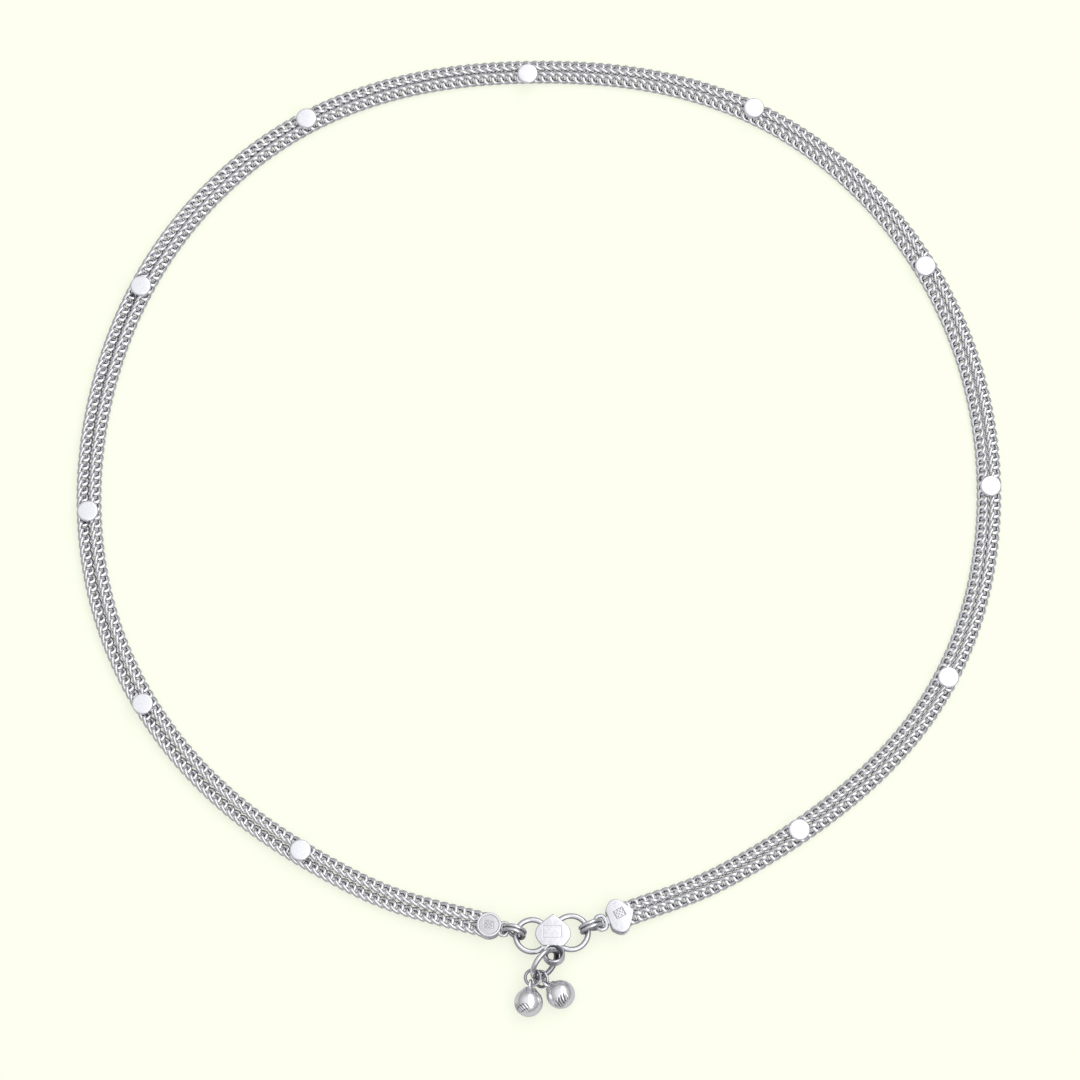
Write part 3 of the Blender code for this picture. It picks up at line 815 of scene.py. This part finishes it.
@dataclass
class DoubleRing:
    """A ring of two turns of one wire, through the eye of a cap."""

    name: str
    node: str
    place: Place
    heading: float
    lean: float
    diameter: float = 4.0
    wire: float = 0.62
    turn_gap: float = 0.05
    jog: float = 38.0
    path_points: int = 145

    def build(self) -> None:
        """Bend the wire and stand the ring in its place."""
        middle = (self.diameter - self.wire) / 2
        jog = math.radians(self.jog)
        angle = np.linspace(jog, 2 * math.tau - jog, self.path_points)
        share = np.clip((angle - (math.tau - jog)) / (2 * jog), 0.0, 1.0)
        side = (self.wire + self.turn_gap) * (share * share * (3 - 2 * share) - 0.5)
        turn = angle - math.pi / 2
        path = np.stack([middle * np.cos(turn), middle * np.sin(turn), side], axis=1)
        points, faces = swept(path, self.wire / 2, sides=14, closed=False)
        draft = Draft()
        # Painted shade: the wire is darker everywhere but along the ring's outer edge.
        outward = (np.linalg.norm(points[:, :2], axis=1) - middle) / (self.wire / 2)
        draft.add(points, faces, painted_flank_shade(outward))
        place = placed(self.place, (self.heading, "Z"), (90.0 - self.lean, "X"))
        draft.finish(self.name, (self.node,), WIRE_SILVER, place, 50.0)


@dataclass
class FoldedCap:
    """What both end caps share: two leaves of plate, the fold and the oval eye."""

    name: str
    node: str
    ring_place: Place
    heading: float
    eye_wire: float
    plate: float = 0.4
    height: float = 2.8
    ring_diameter: float = 4.0
    ring_wire: float = 0.62
    clearance: float = 0.12
    coil_half: float = 0.645
    side_room: float = 0.12
    eye_squareness: float = 2.6

    def close(self, draft: Draft, silver: SilverFinish) -> None:
        """Add the oval eye round the far side of the double ring, and finish the cap.

        Args:
            draft: The cap so far, drawn from the middle of its double ring.
            silver: Its finish.
        """
        inner = self.ring_diameter / 2 - self.ring_wire - self.clearance
        outer = self.ring_diameter / 2 + self.clearance
        half_length = (outer - inner + self.eye_wire) / 2
        half_width = self.coil_half + self.side_room + self.eye_wire / 2
        angle = np.linspace(0.0, math.tau, 48, endpoint=False)
        x, y = squared_oval(angle, half_length, half_width, self.eye_squareness)
        path = np.stack([x, y, 0 * x], axis=1)
        path = path + ((inner + outer) / 2, 0.0, self.ring_place[2])
        # The eye gets a faint painted shade.
        draft.add(*swept(path, self.eye_wire / 2, sides=14, closed=True), 0.05)
        place = placed((*self.ring_place[:2], 0.0), (self.heading, "Z"))
        draft.finish(self.name, (self.node,), silver, place, 35.0)


@dataclass
class RoundCap(FoldedCap):
    """The round cap over the left ends, with its raised rim."""

    diameter: float = 3.9
    wall: float = 1.5
    rim: float = 0.38
    recess: float = 0.14
    edge: float = 0.15
    edge_angles: tuple[float, ...] = (0.5, 1.0, 1.57)
    steps: int = 72

    def leaf(self, low: float, rimmed: bool) -> Shape:
        """Turn one leaf.

        Args:
            low: Height of its lower side.
            rimmed: Whether it has the raised rim.

        Returns:
            Its points and faces, round the Z axis.
        """
        radius, high, edge = self.diameter / 2, low + self.plate, self.edge
        flat = radius - edge
        rows = [(0.0, low), (flat, low)]
        rows += [(flat + edge * math.sin(a), low + edge - edge * math.cos(a))
                 for a in self.edge_angles]
        rows += [(flat + edge * math.cos(a), high - edge + edge * math.sin(a))
                 for a in (0.0, *self.edge_angles)]
        if rimmed:
            # Down the inside of the rim, then over the floor, which is hardly domed.
            inner, floor = radius - self.rim, high - self.recess
            rows += [(inner + 0.08, high), (inner + 0.02, high - 0.03),
                     (inner - 0.04, floor), (inner * 0.6, floor + 0.02),
                     (inner * 0.3, floor + 0.03), (0.0, floor + 0.03)]
        else:
            rows.append((0.0, high))
        return turned(rows, self.steps)

    def build(self) -> None:
        """Make the leaves, the fold between them and the eye."""
        radius = self.diameter / 2
        shift = np.array([self.ring_diameter / 2 + self.clearance + radius, 0.0, 0.0])
        draft = Draft()
        for low, rimmed in ((0.0, False), (self.height - self.plate, True)):
            points, faces = self.leaf(low, rimmed)
            # Painted shade: the lower leaf all over and the floor inside the upper leaf's
            # rim.
            sunk = np.linalg.norm(points[:, :2], axis=1) < radius - self.rim
            draft.add(points + shift, faces, np.where(sunk, 0.4, 0.0) if rimmed else 0.4)
        outline = circle(radius - 0.06, self.steps)[:, :2]
        outline[:, 0] = np.minimum(outline[:, 0], self.wall - radius)
        fold = rounded_plate(outline + shift[:2], 0.1, self.height - 0.2, edge=0.02)
        # Painted shade on the fold between the leaves.
        draft.add_mesh(fold, 0.45)
        self.close(draft, ROUND_CAP_SILVER)


@dataclass
class SpadeCap(FoldedCap):
    """The spade shaped cap over the right ends, with its neck."""

    length: float = 4.2
    width: float = 5.4
    wall: float = 1.25
    neck: float = 0.5
    neck_overlap: float = 0.6
    neck_share: float = 0.4

    def build(self) -> None:
        """Make the leaves, the fold between them, the neck and the eye."""
        root = self.ring_diameter / 2 + self.clearance + self.eye_wire / 2
        start = root + self.neck
        outline = spade(self.length, self.width) + (start, 0.0)
        draft = Draft()
        # Painted shade on the lower leaf.
        draft.add_mesh(rounded_plate(outline, 0.0, self.plate, edge=0.12), 0.4)
        upper = rounded_plate(outline, self.height - self.plate, self.height, edge=0.16)
        draft.add_mesh(upper)
        heel = outline[outline[:, 0] <= start + self.wall] * (1.0, 0.96)
        # Painted shade on the heel between the leaves.
        draft.add_mesh(rounded_plate(heel, 0.2, self.height - 0.2, edge=0.03), 0.5)
        half, end = self.coil_half, start + self.neck_overlap
        bar = np.array([(root, -half), (end, -half), (end, half), (root, half)])
        middle, thick = self.ring_place[2], self.eye_wire * self.neck_share
        # Faint painted shade on the neck.
        draft.add_mesh(rounded_plate(bar, middle - thick, middle + thick, edge=0.12), 0.1)
        self.close(draft, SPADE_CAP_SILVER)


@dataclass
class SpadeClasp:
    """The clasp: a spade plate, a wire ring behind each side and the eye under it."""

    place: Pair = (2.19, -67.37)
    height: float = 1.4594
    wire: float = 0.88
    solder: float = 0.1
    plate_length: float = 5.1
    plate_width: float = 5.55
    plate_thickness: float = 0.6
    plate_edge: float = 0.2
    tip_ahead: float = 3.36
    left_place: Pair = (-3.31, 0.0)
    left_diameter: float = 6.0
    left_ends: Pair = (28.0, 311.0)
    right_place: Pair = (2.84, 0.49)
    right_diameter: float = 6.25
    eye_place: Pair = (0.15, -3.12)
    eye_diameter: float = 3.45
    eye_wall: float = 0.75
    eye_height: float = 1.5
    eye_edge: float = 0.12
    eye_lip: float = 0.3
    eye_tilt: float = 20.0

    def add_rings(self, draft: Draft) -> None:
        """Add both wire rings, the left one open under the plate.

        Args:
            draft: The clasp so far.
        """
        start, end = (math.radians(a) for a in self.left_ends)
        left = circle((self.left_diameter - self.wire) / 2, 90, start, end)
        right = circle((self.right_diameter - self.wire) / 2, 96)
        for path, place, closed in ((left, self.left_place, False),
                                    (right, self.right_place, True)):
            points, faces = swept(path + (*place, self.height), self.wire / 2, 18, closed)
            # Painted shade: each ring's wire is darker away from its top.
            raised = (points[:, 2] - self.height) / (self.wire / 2)
            draft.add(points, faces, painted_flank_shade(raised, 0.85, 1.6))

    def add_eye(self, draft: Draft, height: float) -> None:
        """Add the short tube under the plate.

        Args:
            draft: The clasp so far.
            height: Height of the tube's middle.
        """
        outer, inner = self.eye_diameter / 2, self.eye_diameter / 2 - self.eye_wall
        half, edge, mouth = self.eye_height / 2, self.eye_edge, outer - self.eye_lip
        # Up the outside, over the lip, down the bore and back under it.
        rows = [(outer - edge, -half), (outer, -half + edge), (outer, half - edge),
                (outer - edge, half), (mouth + 0.04, half), (mouth - 0.04, half - 0.05),
                (inner + 0.12, 0.2), (inner, -0.1), (inner, -half + edge),
                (inner + edge, -half)]
        points, faces = turned(rows, 72)
        # Painted shade: the bore and the inside of the lip are drawn dark.
        painted_shade = np.where(np.linalg.norm(points[:, :2], axis=1) < mouth + 0.01, 0.95, 0.1)
        tilt = np.array(Matrix.Rotation(math.radians(-self.eye_tilt), 3, "X"))
        draft.add(points @ tilt.T + (*self.eye_place, height), faces, painted_shade)

    def build(self) -> None:
        """Solder the plate, the rings and the eye."""
        low = self.height + self.wire / 2 - self.solder
        drawn = spade(self.plate_length, self.plate_width, steps=8)
        neck = self.tip_ahead - self.plate_length
        outline = np.stack([-drawn[:, 1], neck + drawn[:, 0]], axis=1)
        draft = Draft()
        high = low + self.plate_thickness
        draft.add_mesh(rounded_plate(outline, low, high, self.plate_edge))
        self.add_rings(draft)
        self.add_eye(draft, (low + high) / 2)
        draft.finish("spade_clasp", ("clasp",), PLATE_SILVER, placed((*self.place, 0.0)))


@dataclass
class JumpRing:
    """One round ring of wire between the clasp and the bells."""

    name: str
    node: str
    place: Place
    diameter: float
    wire: float
    heading: float
    slope: float

    def build(self) -> None:
        """Bend the ring and hang it in its place."""
        middle = (self.diameter - self.wire) / 2
        points, faces = swept(circle(middle, 72), self.wire / 2, sides=16, closed=True)
        draft = Draft()
        # Painted shade: the wire is darker everywhere but along the ring's outer edge.
        outward = (np.linalg.norm(points[:, :2], axis=1) - middle) / (self.wire / 2)
        draft.add(points, faces, painted_flank_shade(outward))
        place = placed(self.place, (self.heading, "Z"), (self.slope, "X"))
        draft.finish(self.name, (self.node,), WIRE_SILVER, place, 60.0)


@dataclass
class RoundBell:
    """A round bell with its shoulder, its eye and two hatched patches near its foot."""

    name: str
    node: str
    place: Pair
    heading: float
    pitch: float
    roll: float
    patch_turn: float
    stroke_slant: float
    diameter: float = 4.5
    shoulder: float = 38.0
    neck: float = 0.92
    neck_height: float = 2.28
    neck_heading: Pair = (-0.35, 0.94)
    eye_diameter: float = 1.89
    eye_wire: float = 0.45
    eye_reach: float = 2.78
    cut_depth: float = 0.13
    patches: int = 2
    band_place: float = -0.56
    band_half: float = 0.40
    strokes: int = 21
    cross_strokes: int = 6
    cross_slant: float = 13.0
    cross_start: float = 1.3

    def profile(self) -> list[Pair]:
        """Draw half of the body's section: a ball whose shoulder runs up into the neck.

        Returns:
            Radius and height of each point.
        """
        radius, top = self.diameter / 2, self.neck_height
        shoulder = math.radians(self.shoulder)
        rows = [(0.0, -radius)]
        rows += [(radius * math.cos(a), radius * math.sin(a))
                 for a in np.linspace(-math.pi / 2, shoulder, 110)[1:]]
        start = radius * np.array([math.cos(shoulder), math.sin(shoulder)])
        leave = 1.1 * np.array([-math.sin(shoulder), math.cos(shoulder)])
        end, arrive = np.array([self.neck, top]), 0.9 * np.array(self.neck_heading)
        rows += [tuple(smooth_step(start, end, leave, arrive, t).tolist())
                 for t in np.linspace(0.0, 1.0, 16)[1:]]
        return rows + [(self.neck * 0.9, top + 0.08), (self.neck * 0.7, top + 0.13),
                       (0.0, top + 0.14)]

    def body(self) -> tuple[Array, Faces, Array]:
        """Turn the body and cut its hatching.

        Returns:
            The points, the faces, and how hidden each point is.
        """
        points, faces = turned(self.profile(), 180)
        flat = np.linalg.norm(points[:, :2], axis=1)
        around = np.arctan2(points[:, 1], points[:, 0]) - math.radians(self.patch_turn)
        up = np.arctan2(points[:, 2], flat)
        band = np.clip(1 - ((up - self.band_place) / self.band_half) ** 4, 0.0, 1.0)
        patch = np.clip(2.2 * (np.cos(self.patches * around) + 0.05), 0.0, 1.0) * band
        steep = self.strokes * around + self.stroke_slant * up
        cross = self.cross_strokes * around - self.cross_slant * up + self.cross_start
        steep = np.clip(2.4 * np.cos(steep) - 0.4, 0.0, 1.0)
        cross = np.clip(1.8 * np.cos(cross) - 1.2, 0.0, 1.0)
        cut = patch * np.clip(steep + cross, 0.0, 1.0)
        points = points * (1 - self.cut_depth / self.diameter * 2 * cut)[:, None]
        # Painted shade in the hatching's cuts.
        return points, faces, np.clip(cut * 1.1, 0.0, 1.0)

    def build(self) -> None:
        """Join the body and the eye and lay the bell on the surface."""
        draft = Draft()
        draft.add(*self.body())
        path = circle((self.eye_diameter - self.eye_wire) / 2, 48)
        path = np.stack([path[:, 0], path[:, 2], path[:, 1] + self.eye_reach], axis=1)
        # The eye gets a faint painted shade.
        draft.add(*swept(path, self.eye_wire / 2, sides=14, closed=True), 0.05)
        place = placed((*self.place, self.diameter / 2), (self.heading, "Z"),
                       (90.0 - self.pitch, "Y"), (self.roll, "Z"))
        draft.finish(self.name, (self.node,), BELL_SILVER, place, 60.0)


@dataclass
class Studio:
    """The plain pale floor, the soft light and the camera at the photo's angle."""

    aim: Place = (0.14, -2.37, 0.85)
    elevation: float = 74.17
    distance: float = 748.9
    view_angle: float = 13.286
    clip_range: Pair = (0.01, 50.0)
    floor_size: float = 6000.0
    floor_colour: Colour = (0.955, 0.965, 0.84)
    floor_grain: float = 900.0
    floor_glow: Colour = (1.045, 1.08, 0.915)
    floor_share: float = 0.35
    mirrored_colour: Colour = (0.62, 0.62, 0.625)
    sky_stops: tuple[Pair, ...] = (
        (0.0, 0.22), (0.10, 0.27), (0.25, 0.43), (0.50, 0.55), (0.68, 0.66), (0.82, 0.86),
        (1.0, 0.89))
    softbox_place: Place = (500.0, 120.0, 1150.0)
    softbox_size: Pair = (850.0, 3800.0)
    softbox_power: float = 10.1

    def camera(self) -> None:
        """Set the camera where the photo was taken from."""
        data = bpy.data.cameras.new("photo_camera")
        data.sensor_fit = "HORIZONTAL"
        data.angle = math.radians(self.view_angle)
        data.clip_start, data.clip_end = self.clip_range
        camera = put("photo_camera", data)
        up = math.radians(self.elevation)
        away = Vector((0.0, -math.cos(up), math.sin(up))) * self.distance
        camera.location = (Vector(self.aim) + away) * MM
        camera.rotation_euler = (math.pi / 2 - up, 0.0, 0.0)
        bpy.context.scene.camera = camera

    def floor(self) -> None:
        """Lay the floor, pale to the eye and a plain grey in the metal's reflections."""
        half = self.floor_size / 2 * MM
        mesh = bpy.data.meshes.new("floor")
        mesh.from_pydata([(-half, -half, 0), (half, -half, 0), (half, half, 0),
                          (-half, half, 0)], [], [(0, 1, 2, 3)])
        paper = bpy.data.materials.new("pale_paper")
        paper.use_nodes = True
        sheet = NodeSheet(paper.node_tree)
        where = sheet.add("ShaderNodeTexCoord").outputs["Object"]
        grain = sheet.noise(where, self.floor_grain, detail=2.0)
        darker = tuple(0.985 * value for value in self.floor_colour)
        shader = sheet.add("ShaderNodeBsdfPrincipled", {
            "Base Color": sheet.blend(grain, self.floor_colour, darker),
            "Roughness": 0.8, "Specular IOR Level": 0.1})
        glow = sheet.add("ShaderNodeEmission", {"Color": (*self.floor_glow, 1.0)})
        lit = sheet.add("ShaderNodeMixShader", {
            0: 1.0 - self.floor_share, 1: shader.outputs[0], 2: glow.outputs[0]})
        grey = (*self.mirrored_colour, 1.0)
        mirrored = sheet.add("ShaderNodeBsdfDiffuse", {"Color": grey})
        ray = sheet.add("ShaderNodeLightPath").outputs["Is Glossy Ray"]
        both = sheet.add("ShaderNodeMixShader", {
            0: ray, 1: lit.outputs[0], 2: mirrored.outputs[0]})
        sheet.add("ShaderNodeOutputMaterial", {"Surface": both.outputs[0]})
        mesh.materials.append(paper)
        floor = put("floor", mesh)

    def sky(self) -> None:
        """Light the scene from all round, darker low down to give the metal contrast."""
        world = bpy.data.worlds.new("soft_sky")
        bpy.context.scene.world = world
        world.use_nodes = True
        sheet = NodeSheet(world.node_tree)
        where = sheet.add("ShaderNodeTexCoord").outputs["Generated"]
        split = sheet.add("ShaderNodeSeparateXYZ", {0: where})
        ramp = sheet.add("ShaderNodeValToRGB", {"Fac": split.outputs["Z"]})
        elements = ramp.color_ramp.elements
        while len(elements) < len(self.sky_stops):
            elements.new(0.5)
        for element, (place, value) in zip(elements, self.sky_stops):
            element.position = place
            element.color = (value, value, value * 1.01, 1.0)
        glow = sheet.add("ShaderNodeBackground",
                         {"Color": ramp.outputs["Color"], "Strength": 1.0})
        sheet.add("ShaderNodeOutputWorld", {"Surface": glow.outputs[0]})

    def softbox(self) -> None:
        """Hang the long soft lamp that runs from front to back, a little to the right."""
        data = bpy.data.lights.new("softbox", "AREA")
        data.shape = "RECTANGLE"
        data.size, data.size_y = (side * MM for side in self.softbox_size)
        data.energy = self.softbox_power
        lamp = put("softbox", data)
        lamp.location = Vector(self.softbox_place) * MM
        lean = math.atan2(self.softbox_place[0], self.softbox_place[2])
        lamp.rotation_euler = (0.0, lean, 0.0)

    def build(self) -> None:
        """Set up the camera, the floor and the light."""
        self.camera()
        self.floor()
        self.sky()
        self.softbox()
        bpy.context.scene.view_settings.view_transform = "Standard"


def main() -> None:
    """Build each class in order and report it."""
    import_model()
    Studio().build()
    route = BandRoute()
    # Along each chain: how far along, as a share of its length, and its roll in degrees.
    outer_rolls = ((0.0, 27.0), (0.03, 38.0), (0.5, 36.0), (0.6, 18.0), (0.68, -36.0),
                   (0.96, -36.0), (1.0, -26.0))
    inner_rolls = ((0.0, -26.0), (0.03, -36.0), (0.5, -40.0), (0.96, -36.0), (1.0, -26.0))
    left, right = (-3.9628, -66.8431, 2.0272), (8.1962, -65.9781, 2.0105)
    pieces = (
        CurbChain("chain_outer", "strand_outer", route, 1.0, outer_rolls),
        CurbChain("chain_inner", "strand_inner", route, -1.0, inner_rolls),
        RoundDiscs(),
        DoubleRing("two_turn_ring_left", "double_ring_left", left, heading=345.0,
                   lean=11.0),
        DoubleRing("two_turn_ring_right", "double_ring_right", right, heading=20.5,
                   lean=2.0),
        RoundCap("round_cap", "end_cap_left", left, heading=165.0, eye_wire=0.55),
        SpadeCap("spade_cap", "end_cap_right", right, heading=20.5, eye_wire=0.7),
        SpadeClasp(),
        JumpRing("large_drop_ring", "drop_ring", (0.88, -72.13, 2.83), diameter=6.0,
                 wire=0.86, heading=48.89, slope=67.14),
        JumpRing("left_bell_ring", "bell_ring_left", (-0.99, -74.23, 2.57), diameter=2.9,
                 wire=0.5, heading=127.27, slope=-7.0),
        JumpRing("right_bell_ring", "bell_ring_right", (0.30, -74.28, 1.54), diameter=3.0,
                 wire=0.5, heading=-60.93, slope=41.76),
        RoundBell("round_bell_left", "bell_left", (-1.65, -78.14), heading=84.18, pitch=3.5,
                  roll=-8.51, patch_turn=150.0, stroke_slant=20.0),
        RoundBell("round_bell_right", "bell_right", (3.39, -76.86), heading=139.66,
                  pitch=-6.18, roll=-32.4, patch_turn=177.0, stroke_slant=-16.0),
    )
    for piece in pieces:
        piece.build()


if __name__ == "__main__":
    logging.basicConfig(level=logging.INFO, format="%(message)s")
    main()
